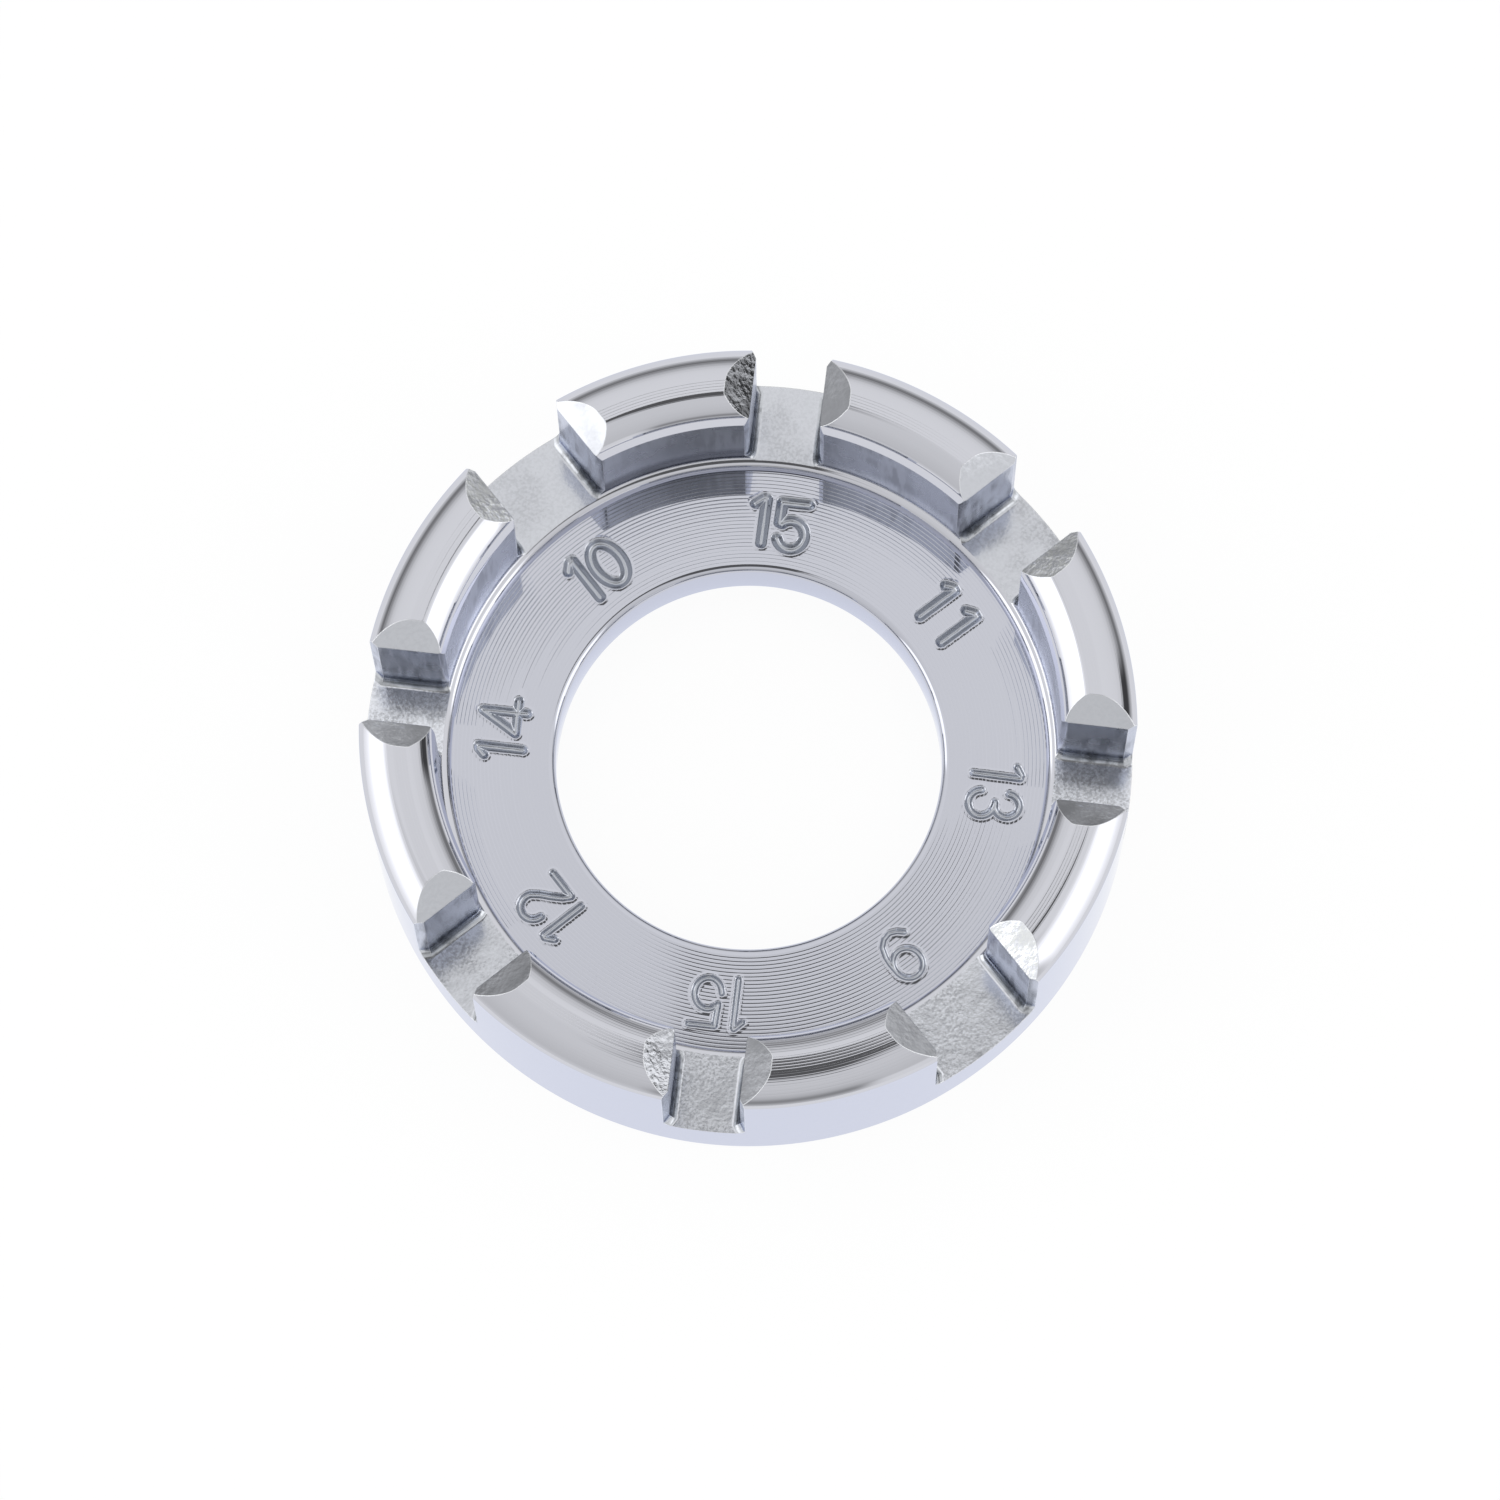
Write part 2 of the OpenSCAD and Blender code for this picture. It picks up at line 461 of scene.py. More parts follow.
class WRENCH_OT_wall(bpy.types.Operator):
    """Builds the raised wall with its crown and eight slots"""

    bl_idname = "wrench.wall"
    bl_label = "Slotted wall"

    def execute(self, context):
        sizes = context.scene.wrench_wall
        wall = wall_blank(sizes)
        cutter = slot_cutter(sizes)
        for material in wall_materials(context):
            wall.data.materials.append(material)
            cutter.data.materials.append(material)
        cut = wall.modifiers.new("Slots", "BOOLEAN")
        cut.operation = "DIFFERENCE"
        cut.solver = "EXACT"
        cut.object = cutter
        cut.use_self = True
        cut.material_mode = "TRANSFER"
        apply_modifiers(wall)
        bpy.data.objects.remove(cutter)
        if len(wall.data.polygons) < FEWEST_FACES:
            raise RuntimeError("the slots were not cut")
        shade_smooth(wall.data, 14.0)
        mark_painted_light_and_roughness(wall.data)
        even = wall.modifiers.new("Even shading", "WEIGHTED_NORMAL")
        even.keep_sharp = True
        even.weight = 80
        finish_piece(wall)
        return {"FINISHED"}


# Face and numbers

RING_SPACING = 0.047 * MM  # between the rings that the numbers are cut into
NUMBER_SECTOR = (18.0, 74)  # degrees and steps across a number
PLAIN_SECTOR = (27.0, 16)  # degrees and steps between two numbers
NUMBER_START = -9.6  # degrees from the slot's middle to that sector's start

# In millimetres
NUMBERS_FROM = 10.0  # smallest distance of a number from the ring's axis
NUMBER_REACH = 2.2  # largest distance of a number from its slot's middle line
PLAIN_RIM = 0.1  # rim of the face on which the numbers fade out
STROKE_BLUR = 0.05  # width over which the finish changes at a stroke's edge
BURR_OFFSET = 0.03  # of the burr's crest, outside the stroke's edge
BURR_WIDTH = 0.05  # of the burr to either side of its crest
FAR_OFF = 9.0  # distance to start with, farther than any stroke

BOTTOM_SHARE = 0.25  # of half a stroke's width, for the flat bottom
DEPTH_SHARE = 1.05  # of the width of a stroke's slanting side, for its depth

# Each label is the width of its strokes and the strokes, in millimetres beside
# the slot: x runs clockwise along the face and y out along the slot. A stroke
# is a list of points, and an arc has centre x, centre y, radius x, radius y,
# start angle and end angle.


def arc(cx, cy, rx, ry, start, end):
    """Points along part of an ellipse, angles in degrees."""
    count = max(8, int(abs(end - start) / 9))
    turns = [math.radians(start + (end - start) * i / count) for i in range(count + 1)]
    return [(cx + rx * math.cos(t), cy + ry * math.sin(t)) for t in turns]


LABELS = {
    "eleven": (
        0.57,
        [
            [(-0.85, 13.17), (-0.5, 13.42)],
            [(-0.37, 13.4), (-0.42, 11.2)],
            [(0.8, 13.17), (1.17, 13.42)],
            [(1.34, 13.4), (1.28, 11.2)],
        ],
    ),
    "fifteen_far": (
        0.58,
        [
            [(-1.18, 13.04), (-0.74, 13.38)],
            [(-0.64, 13.35), (-0.68, 11.05)],
            [(1.5, 13.26), (0.16, 13.26), (0.12, 12.2)],
            arc(0.74, 11.62, 0.7, 0.74, 135, -160),
        ],
    ),
    "ten": (
        0.6,
        [
            [(-1.12, 13.1), (-0.78, 13.42)],
            [(-0.64, 13.4), (-0.67, 11.1)],
            arc(0.71, 12.2, 0.71, 1.15, 0, 360),
        ],
    ),
    "fourteen": (
        0.5,
        [
            [(-1.28, 13.1), (-0.98, 13.4)],
            [(-0.84, 13.42), (-0.84, 11.2)],
            [(1.6, 11.68), (-0.06, 11.68), (0.98, 13.42), (1.02, 11.2)],
        ],
    ),
    "twelve": (
        0.4,
        [
            [(-1.22, 13.2), (-0.84, 13.52)],
            [(-0.71, 13.5), (-0.71, 11.15)],
            arc(0.74, 13.0, 0.64, 0.66, 178, -25)
            + [(1.0, 12.35), (0.6, 12.0), (0.2, 11.6), (-0.02, 11.22), (1.45, 11.2)],
        ],
    ),
    "fifteen_near": (
        0.33,
        [
            [(-1.22, 13.28), (-0.84, 13.66)],
            [(-0.8, 13.6), (-0.8, 11.15)],
            [(1.42, 13.62), (0.12, 13.62), (0.06, 12.5)],
            arc(0.62, 12.0, 0.67, 0.78, 125, -175),
        ],
    ),
    "nine": (
        0.29,
        [
            arc(0.26, 12.99, 0.72, 0.78, 0, 360),
            [(0.98, 12.9), (0.99, 12.5), (0.95, 12.1), (0.77, 11.6), (0.45, 11.33), (0.05, 11.24)]
            + [(-0.3, 11.4), (-0.57, 11.66)],
        ],
    ),
    "thirteen": (
        0.38,
        [
            [(-1.08, 13.3), (-0.7, 13.54)],
            [(-0.54, 13.5), (-0.57, 11.15)],
            arc(0.9, 12.98, 0.6, 0.62, 175, -70) + [(0.8, 12.38)],
            [(0.9, 12.38)] + arc(0.9, 11.7, 0.66, 0.64, 65, -175),
        ],
    ),
}


def engraving(x, y, width, strokes, burr):
    """Height of the face beside one slot after engraving, and the distance
    from the strokes' edges, both in millimetres."""
    distance = np.full(x.shape, FAR_OFF)
    for stroke in strokes:
        for (ax, ay), (bx, by) in zip(stroke, stroke[1:]):
            dx, dy = bx - ax, by - ay
            along = np.clip(((x - ax) * dx + (y - ay) * dy) / (dx * dx + dy * dy), 0.0, 1.0)
            distance = np.minimum(distance, np.hypot(x - ax - along * dx, y - ay - along * dy))
    half = width / 2
    bottom = BOTTOM_SHARE * half
    depth = DEPTH_SHARE * (half - bottom)
    rise = np.clip((distance - bottom) / (half - bottom), 0.0, 1.0)
    height = -depth * (1.0 - rise)
    height += burr * np.exp(-(((distance - half - BURR_OFFSET) / BURR_WIDTH) ** 2))
    return height, distance - half


def face_blank(face, wall):
    """The turned face with its hole, its top in fine rings and sectors."""
    bm = bmesh.new()
    corners = closed_section(
        bm,
        [
            (face.bore_radius, 0.0),
            (wall.face_radius, 0.0),
            (wall.face_radius, wall.face_height),
            (face.bore_radius, wall.face_height),
        ],
    )
    for index in (3, 0):
        rounded(bm, [corners[index]], face.bore_rounding, 8)
    top = level_edge(bm, face.bore_radius, wall.face_radius, wall.face_height)
    rings = round(top.calc_length() / RING_SPACING)
    bmesh.ops.subdivide_edges(bm, edges=[top], cuts=rings - 1)
    bmesh.ops.delete(bm, geom=bm.faces[:], context="FACES_ONLY")
    turned(bm, bm.verts[:], math.radians(NUMBER_START))
    geom = bm.verts[:] + bm.edges[:]
    for _label in SLOTS:
        for degrees, steps in (NUMBER_SECTOR, PLAIN_SECTOR):
            made = bmesh.ops.spin(
                bm,
                geom=geom,
                cent=(0.0, 0.0, 0.0),
                axis=(0.0, 0.0, 1.0),
                angle=math.radians(degrees),
                steps=steps,
            )
            geom = made["geom_last"]
    bmesh.ops.remove_doubles(bm, verts=bm.verts[:], dist=TOUCH)
    bmesh.ops.recalc_face_normals(bm, faces=bm.faces[:])
    return new_object("turned_face", bm)


def engrave(mesh, face, wall):
    """Sinks the numbers into the face and marks where their strokes are."""
    where = np.empty(len(mesh.vertices) * 3)
    mesh.vertices.foreach_get("co", where)
    where = where.reshape(-1, 3)
    on_top = where[:, 2] > wall.face_height - TOUCH
    x, y = where[on_top, 0] / MM, where[on_top, 1] / MM
    radius = np.hypot(x, y)
    stroke = np.zeros_like(x)
    rise = np.zeros_like(x)
    for i, (_key, label) in enumerate(SLOTS):
        out = i * SLOT_STEP
        along = x * math.cos(out) + y * math.sin(out)
        across = x * math.sin(out) - y * math.cos(out)
        near = (along > NUMBERS_FROM) & (np.abs(across) < NUMBER_REACH)
        width, strokes = LABELS[label]
        burr = face.burr_height / MM
        height, gap = engraving(across[near], along[near], width, strokes, burr)
        rise[near] += height
        stroke[near] = np.maximum(stroke[near], np.clip(0.5 - gap / STROKE_BLUR, 0.0, 1.0))
    inner = (face.bore_radius + face.bore_rounding) / MM
    rim = np.clip((wall.face_radius / MM - radius) / PLAIN_RIM, 0.0, 1.0)
    rim *= np.clip((radius - inner) / PLAIN_RIM, 0.0, 1.0)
    where[on_top, 2] += rise * rim * MM
    mesh.vertices.foreach_set("co", where.reshape(-1))
    shares = np.zeros(len(mesh.vertices))
    shares[on_top] = stroke
    mesh.attributes.new("stroke", "FLOAT", "POINT").data.foreach_set("value", shares)
    mesh.update()


class WRENCH_OT_face(bpy.types.Operator):
    """Builds the turned face with the centre hole and the engraved numbers"""

    bl_idname = "wrench.face"
    bl_label = "Turned face and numbers"

    def execute(self, context):
        sizes, wall = context.scene.wrench_face, context.scene.wrench_wall
        face = face_blank(sizes, wall)
        engrave(face.data, sizes, wall)
        shade_smooth(face.data, 60.0)
        face.data.materials.append(face_chrome(context))
        face.data.update()
        finish_piece(face)
        return {"FINISHED"}


# Nodes


def feed(tree, socket, value):
    """Links an input to a socket, or sets it to a number or colour."""
    if isinstance(value, bpy.types.NodeSocket):
        tree.links.new(value, socket)
    else:
        socket.default_value = value


def calculate(tree, operation, first, second=0.0):
    """One Math node on two sockets or numbers."""
    node = tree.nodes.new("ShaderNodeMath")
    node.operation = operation
    feed(tree, node.inputs[0], first)
    feed(tree, node.inputs[1], second)
    return node.outputs[0]


def product(tree, first, second):
    """The one times the other."""
    return calculate(tree, "MULTIPLY", first, second)


def vectors(tree, operation, first, second=None):
    """The outputs of one Vector Math node on one or two sockets or vectors."""
    node = tree.nodes.new("ShaderNodeVectorMath")
    node.operation = operation
    feed(tree, node.inputs[0], first)
    if second is not None:
        feed(tree, node.inputs[1], second)
    return node.outputs


def blend(tree, share, first, second):
    """The first number where share is 0 and the second where it is 1."""
    mix = tree.nodes.new("ShaderNodeMix")
    mix.data_type = "FLOAT"
    for index, value in ((0, share), (2, first), (3, second)):
        feed(tree, mix.inputs[index], value)
    return mix.outputs[0]


def blend_colours(tree, share, first, second):
    """The first colour where share is 0 and the second where it is 1."""
    mix = tree.nodes.new("ShaderNodeMix")
    mix.data_type = "RGBA"
    for index, value in ((0, share), (6, first), (7, second)):
        feed(tree, mix.inputs[index], value)
    return mix.outputs[2]


def smooth_step(tree, value, low, high):
    """0 below low and 1 above high, or the other way round, with a soft edge."""
    step = tree.nodes.new("ShaderNodeMapRange")
    step.interpolation_type = "SMOOTHSTEP"
    step.inputs["From Min"].default_value = min(low, high)
    step.inputs["From Max"].default_value = max(low, high)
    step.inputs["To Min"].default_value = 0.0 if low < high else 1.0
    step.inputs["To Max"].default_value = 1.0 if low < high else 0.0
    tree.links.new(value, step.inputs["Value"])
    return step.outputs["Result"]


def between(tree, value, low, high, soft):
    """1 where the value lies between low and high, with soft edges."""
    above = smooth_step(tree, value, low - soft, low + soft)
    below = smooth_step(tree, value, high + soft, high - soft)
    return product(tree, above, below)


def mesh_value(tree, name):
    """A value that is stored in the mesh."""
    attribute = tree.nodes.new("ShaderNodeAttribute")
    attribute.attribute_name = name
    return attribute.outputs["Fac"]


def place_on_part(tree):
    """Where a point lies in the part's own frame, in metres."""
    return tree.nodes.new("ShaderNodeTexCoord").outputs["Object"]


def place_from_axis(tree):
    """The same without its height."""
    return vectors(tree, "MULTIPLY", place_on_part(tree), (1.0, 1.0, 0.0))["Vector"]


def height_on_part(tree):
    """How high a point lies above the flat back."""
    split = tree.nodes.new("ShaderNodeSeparateXYZ")
    tree.links.new(place_on_part(tree), split.inputs[0])
    return split.outputs["Z"]


def towards(tree, degrees, low, high):
    """1 on the side of the ring that lies at an angle from +X and 0 elsewhere,
    by the cosine of the angle between."""
    outward = vectors(tree, "NORMALIZE", place_from_axis(tree))["Vector"]
    side = (math.cos(math.radians(degrees)), math.sin(math.radians(degrees)), 0.0)
    along = vectors(tree, "DOT_PRODUCT", outward, side)["Value"]
    return smooth_step(tree, along, low, high)


def noise_in_place(tree, stretch, scale, detail):
    """Noise in the part's own frame, stretched along an axis."""
    mapping = tree.nodes.new("ShaderNodeMapping")
    mapping.inputs["Scale"].default_value = stretch
    tree.links.new(place_on_part(tree), mapping.inputs["Vector"])
    noise = tree.nodes.new("ShaderNodeTexNoise")
    noise.inputs["Scale"].default_value = scale
    noise.inputs["Detail"].default_value = detail
    tree.links.new(mapping.outputs["Vector"], noise.inputs["Vector"])
    return noise.outputs[0]


def relief(tree, height):
    """Bump node that turns a height in metres into a shading normal."""
    bump = tree.nodes.new("ShaderNodeBump")
    bump.inputs["Strength"].default_value = 1.0
    bump.inputs["Distance"].default_value = 1.0
    tree.links.new(height, bump.inputs["Height"])
    tree.links.new(bump.outputs["Normal"], tree.nodes["Principled BSDF"].inputs["Normal"])
    return bump


# Materials

# Sides of the ring: degrees from +X, and the cosines of the angle from there
# at which the side starts and is whole
FACE_WORN_SIDE = (230.0, 0.82, 0.97)
CROWN_WORN_SIDE = (235.0, 0.82, 0.92)
# The side of the ring on which the inner wall's foot takes painted shade
PAINTED_SHADE_SIDE = (67.0, 0.72, 0.97)

# Part of the feed that a groove takes up, off the worn side and on it
GROOVE_SHARE = (0.32, 0.52)
# Smallest and largest half depth of a groove, as shares of the named depth
GROOVE_LUCK = (0.35, 0.65)
# Times deeper on the worn side
FACE_WEAR, CROWN_WEAR = 2.0, 4.0
# Depth of the face's grooves at the hole and at the wall
FACE_DEPTHS = (0.35, 1.35)
# Heights over which the crown's grooves set in, below the ring's height
CROWN_GROOVES = (0.5 * MM, 0.3 * MM)

# Cosine between the rounded normal and the face's own at which an edge
# starts and is whole
EDGE_MATCH = (0.998, 0.975)

# Stretches of the noise
PLAIN, UPRIGHT = (1.0, 1.0, 1.0), (1.0, 1.0, 0.12)
# Scale of the noise that lays out grainy patches, and its values at their edge
PATCH_SCALE, PATCH_EDGE = 420.0, (0.38, 0.66)
# Values of the grain between its lows and the rest
SPECK_EDGE = (0.36, 0.6)
# Share of the grain's height, and of its dark lows, outside the patches
GRAIN_OUTSIDE, LOWS_OUTSIDE = 0.3, 0.15
# Scale of the stones' noise, and times lower that they are outside the patches
STONE_SCALE, STONES_LOWER = 3400.0, 6.0
# Range of heights over which the foot of the inner wall changes, and its painted light and painted
# shade: how bright the foot is painted on most sides and on the shaded one
FOOT_RANGE, FOOT_SHADES = 1.2 * MM, (1.4, 0.2)


def chrome(name, colour, edge, roughness):
    """Bright plating."""
    material = bpy.data.materials.new(name)
    material.use_nodes = True
    shader = material.node_tree.nodes["Principled BSDF"]
    shader.inputs["Base Color"].default_value = colour
    shader.inputs["Specular Tint"].default_value = edge
    shader.inputs["Metallic"].default_value = 1.0
    shader.inputs["Roughness"].default_value = roughness
    return material


def soften_edges(tree, bump, finish):
    """Rounds the sharp edges under a relief and returns how much of an edge each place is, from 0
    to 1, scaled by the strength of the painted edge highlight."""
    soft = tree.nodes.new("ShaderNodeBevel")
    soft.samples = 6
    soft.inputs["Radius"].default_value = finish.edge_softness
    tree.links.new(soft.outputs["Normal"], bump.inputs["Normal"])
    here = tree.nodes.new("ShaderNodeNewGeometry").outputs["Normal"]
    match = vectors(tree, "DOT_PRODUCT", soft.outputs["Normal"], here)["Value"]
    return product(tree, smooth_step(tree, match, *EDGE_MATCH), finish.painted_edge_highlight_share)


def soften_and_highlight_edges(tree, bump, colour, roughness, finish):
    """Softens the plating along the edges, paints a highlight along them and dulls them."""
    edge = soften_edges(tree, bump, finish)
    shader = tree.nodes["Principled BSDF"]
    # Painted highlight along the edges
    edge_highlight = blend_colours(tree, edge, colour, finish.painted_edge_highlight)
    tree.links.new(edge_highlight, shader.inputs["Base Color"])
    tree.links.new(blend(tree, edge, roughness, finish.edge_roughness), shader.inputs["Roughness"])


def turned_grooves(tree, pitch, depth, worn_side, gain):
    """Height of grooves round the ring's axis, with flat lands between, and the
    distance from that axis. On the worn side they are wider, and deeper by the
    gain."""
    radius = vectors(tree, "LENGTH", place_from_axis(tree))["Value"]
    turns = calculate(tree, "DIVIDE", radius, pitch)
    index = calculate(tree, "FLOOR", turns)
    part = calculate(tree, "FRACT", turns)
    part = calculate(tree, "DIVIDE", part, blend(tree, worn_side, *GROOVE_SHARE))
    part = calculate(tree, "MINIMUM", part, 1.0)
    wave = calculate(tree, "COSINE", product(tree, part, math.tau))
    dip = calculate(tree, "SUBTRACT", wave, 1.0)
    luck = tree.nodes.new("ShaderNodeTexWhiteNoise")
    luck.noise_dimensions = "1D"
    tree.links.new(index, luck.inputs["W"])
    size = blend(tree, luck.outputs["Value"], *(depth * share for share in GROOVE_LUCK))
    size = product(tree, size, blend(tree, worn_side, 1.0, gain))
    return product(tree, dip, size), radius


def face_chrome(context):
    """Plating on the turned face, duller and darker inside the strokes."""
    finish = context.scene.wrench_finish
    s = context.scene.wrench_face
    material = chrome(
        "Turned chrome", finish.face_plating, finish.edge_tint, finish.plating_roughness
    )
    tree = material.node_tree
    shader = tree.nodes["Principled BSDF"]
    inside = mesh_value(tree, "stroke")
    colour = blend_colours(tree, inside, finish.face_plating, finish.stroke_plating)
    tree.links.new(colour, shader.inputs["Base Color"])
    dullness = blend(tree, inside, finish.plating_roughness, finish.stroke_roughness)
    tree.links.new(dullness, shader.inputs["Roughness"])
    worn_side = towards(tree, *FACE_WORN_SIDE)
    height, radius = turned_grooves(tree, s.groove_pitch, s.groove_depth, worn_side, FACE_WEAR)
    outwards = smooth_step(tree, radius, s.bore_radius, context.scene.wrench_wall.face_radius)
    height = product(tree, height, blend(tree, outwards, *FACE_DEPTHS))
    relief(tree, blend(tree, inside, height, 0.0))
    return material


def crown_chrome(context):
    """Plating on the turned crown and the outer wall."""
    finish = context.scene.wrench_finish
    s = context.scene.wrench_wall
    material = chrome("Wall chrome", finish.plating, finish.edge_tint, finish.plating_roughness)
    tree = material.node_tree
    low, high = (s.ring_height - below for below in CROWN_GROOVES)
    on_crown = smooth_step(tree, height_on_part(tree), low, high)
    worn_side = towards(tree, *CROWN_WORN_SIDE)
    height, _radius = turned_grooves(tree, s.groove_pitch, s.groove_depth, worn_side, CROWN_WEAR)
    bump = relief(tree, product(tree, height, on_crown))
    soften_and_highlight_edges(tree, bump, finish.plating, finish.plating_roughness, finish)
    return material


def foot_painted_light_and_shade(tree, colour, foot):
    """The plating's colour, but below the height foot with painted shade on one side of the ring
    and a painted highlight on the other sides."""
    low = smooth_step(tree, height_on_part(tree), foot + FOOT_RANGE, foot)
    painted_bright, painted_dark = ([part * shade for part in colour[:3]] + [1.0] for shade in FOOT_SHADES)
    ends = blend_colours(tree, towards(tree, *PAINTED_SHADE_SIDE), painted_bright, painted_dark)
    return blend_colours(tree, low, colour, ends)


def forged_chrome(context, name, colour, grain, pebble, roughness, stain, foot=None, rocks=None):
    """Plating over a surface left as forged: grain and pebbles are each (stretch, scale, height),
    the grain strong in some patches only. The roughness is that between the patches and in them,
    and stain gives the brightness of the grain's lows and of the rest. With a foot, a height, the
    plating below it takes painted shade on one side of the ring and a painted highlight on the
    others. With rocks, the height of the roughest stones, the surface takes each facet's and
    floor's painted brightness (painted light) and roughness from the mesh."""
    finish = context.scene.wrench_finish
    material = chrome(name, colour, finish.edge_tint, roughness[0])
    tree = material.node_tree
    patch = smooth_step(tree, noise_in_place(tree, PLAIN, PATCH_SCALE, 1.0), *PATCH_EDGE)
    fine = noise_in_place(tree, grain[0], grain[1], 3.0)
    broad = noise_in_place(tree, pebble[0], pebble[1], 1.0)
    strength = patch
    if rocks is not None:
        rough = mesh_value(tree, "rough")
        strength = product(tree, patch, blend(tree, rough, 0.1, 1.0))
    grains = blend(tree, strength, grain[2] * GRAIN_OUTSIDE, grain[2])
    grains = product(tree, fine, grains)
    height = calculate(tree, "ADD", grains, product(tree, broad, pebble[2]))
    middle = LOWS_OUTSIDE * stain[0] + (1.0 - LOWS_OUTSIDE) * stain[1]
    speck = smooth_step(tree, fine, *SPECK_EDGE)
    speck = blend(tree, speck, blend(tree, strength, middle, stain[0]), stain[1])
    if rocks is not None:
        # Painted light: each facet's and floor's painted brightness scales its colour
        speck = product(tree, speck, mesh_value(tree, "painted_brightness"))
        stones = noise_in_place(tree, PLAIN, STONE_SCALE, 2.0)
        stones = product(tree, stones, blend(tree, patch, rocks / STONES_LOWER, rocks))
        height = calculate(tree, "ADD", height, product(tree, stones, rough))
    shade = colour[:3] if foot is None else foot_painted_light_and_shade(tree, colour, foot)
    stained = tree.nodes.new("ShaderNodeVectorMath")
    stained.operation = "SCALE"
    feed(tree, stained.inputs[0], shade)
    tree.links.new(speck, stained.inputs["Scale"])
    dullness = blend(tree, patch, *roughness)
    soften_and_highlight_edges(tree, relief(tree, height), stained.outputs["Vector"], dullness, finish)
    return material


def wall_materials(context):
    """Plating on the wall, jaws, lead-in facets, slot floors and inner wall."""
    finish = context.scene.wrench_finish
    return (
        crown_chrome(context),
        forged_chrome(
            context,
            "Jaw chrome",
            finish.jaw_plating,
            grain=(UPRIGHT, 2600.0, 0.000008),
            pebble=(PLAIN, 500.0, 0.00002),
            roughness=(0.2, 0.28),
            stain=(0.5, 1.12),
        ),
        forged_chrome(
            context,
            "Facet chrome",
            finish.floor_plating,
            grain=(PLAIN, 5200.0, 0.000003),
            pebble=(PLAIN, 900.0, 0.000012),
            roughness=(0.08, 0.2),
            stain=(0.85, 1.01),
            rocks=0.00006,
        ),
        forged_chrome(
            context,
            "Slot floor chrome",
            finish.floor_plating,
            grain=(PLAIN, 6500.0, 0.0000055),
            pebble=(PLAIN, 1500.0, 0.000003),
            roughness=(0.12, 0.2),
            stain=(0.66, 1.03),
            rocks=0.000003,
        ),
        forged_chrome(
            context,
            "Inner wall chrome",
            finish.jaw_plating,
            grain=(UPRIGHT, 2200.0, 0.000004),
            pebble=(PLAIN, 400.0, 0.000006),
            roughness=(0.26, 0.32),
            stain=(0.72, 1.04),
            # Painted shade and painted highlight at the inner wall's foot
            foot=context.scene.wrench_wall.floor_height + 0.9 * MM,
        ),
    )


# Stage

FLOOR_SIZE = 1.5
FLOOR_PAINT = (0.8, 0.8, 0.8, 1.0)
# Strength of the floor's white as it is seen, and how much of the painted
# floor, with the ring's shadow on it, shows through
FLOOR_WHITE, FLOOR_SHOWS = 1.04, 0.12

# Point aimed at, to the right of and above the ring's middle in the picture
AIM_RIGHT, AIM_UP = 0.04137 * MM, 1.175889 * MM

# Brightness of what the plating mirrors, over degrees from straight up
BACK_WALL = (
    ((0, 0.86), (10.8, 0.89), (12.5, 0.93), (15.3, 0.98), (35, 0.97), (50, 0.95), (58, 0.89))
    + ((64, 0.74), (69.5, 0.53), (74, 0.36), (77, 0.24), (79.5, 0.25), (82, 0.4), (86, 0.65))
    + ((90, 0.8),)
)
FRONT_WALL = ((0, 0.86), (35, 0.84), (50, 0.8), (64, 0.76), (76, 0.73), (84, 0.8), (90, 0.86))
SKIRTING = (
    ((0, 0.86), (35, 0.84), (48, 0.8), (58, 0.76), (64, 0.67), (68, 0.6), (72, 0.45), (76, 0.34))
    + ((80, 0.38), (84, 0.52), (89, 0.71), (90, 0.71))
)
SOFTBOX = ((0, 1.8), (64, 1.8), (70, 1.6), (78, 1.36), (86, 1.2), (90, 1.15))
CORNER_SHADE, FLAG_SHADE, LENS_SHADE, BAR_SHADE = 0.95, 0.07, 0.45, 0.13

# From, to and softness, in degrees round the ring from the picture's right
BACK_WALL_SPAN = (-12.0, 160.0, 5.0)
SKIRTING_SPAN = (-109.0, -69.0, 4.0)
CORNER_SPAN = (-68.0, -36.0, 4.0)
FLAG_SPAN = (8.0, 22.0, 3.0)
# The same as a share of the way from straight up to the horizon
FLAG_HEIGHT = (0.71, 0.875, 0.03)
CORNER_FOOT = (0.8, 0.86)

# The lens over the ring: its lean from straight up, and the angles from its
# middle, in radians, at which it starts and is whole
LENS_LEAN = math.radians(14.0)
LENS_RIM = (0.25, 0.12)
# How much the lens's bar slants
BAR_SLANT = 0.25


def white_when_seen(tree, seen, lit):
    """One shader for the camera and for mirrored and refracted rays, another
    as light."""
    ray = tree.nodes.new("ShaderNodeLightPath").outputs
    either = calculate(tree, "MAXIMUM", ray["Is Camera Ray"], ray["Is Glossy Ray"])
    mix = tree.nodes.new("ShaderNodeMixShader")
    tree.links.new(calculate(tree, "MAXIMUM", either, ray["Is Transmission Ray"]), mix.inputs[0])
    tree.links.new(lit, mix.inputs[1])
    tree.links.new(seen, mix.inputs[2])
    return mix.outputs[0]


def by_angle(tree, tilt, stops):
    """A ramp of brightness over the angle from straight up. The tilt is a
    share of 90 degrees, and each stop is (degrees, brightness)."""
    ramp = tree.nodes.new("ShaderNodeValToRGB")
    elements = ramp.color_ramp.elements
    elements[0].position, elements[1].position = stops[0][0] / 90.0, stops[-1][0] / 90.0
    for degrees, _shade in stops[1:-1]:
        elements.new(degrees / 90.0)
    for element, (_degrees, shade) in zip(elements, stops):
        element.color = (shade, shade, shade, 1.0)
    tree.links.new(tilt, ramp.inputs[0])
    return ramp.outputs["Color"]


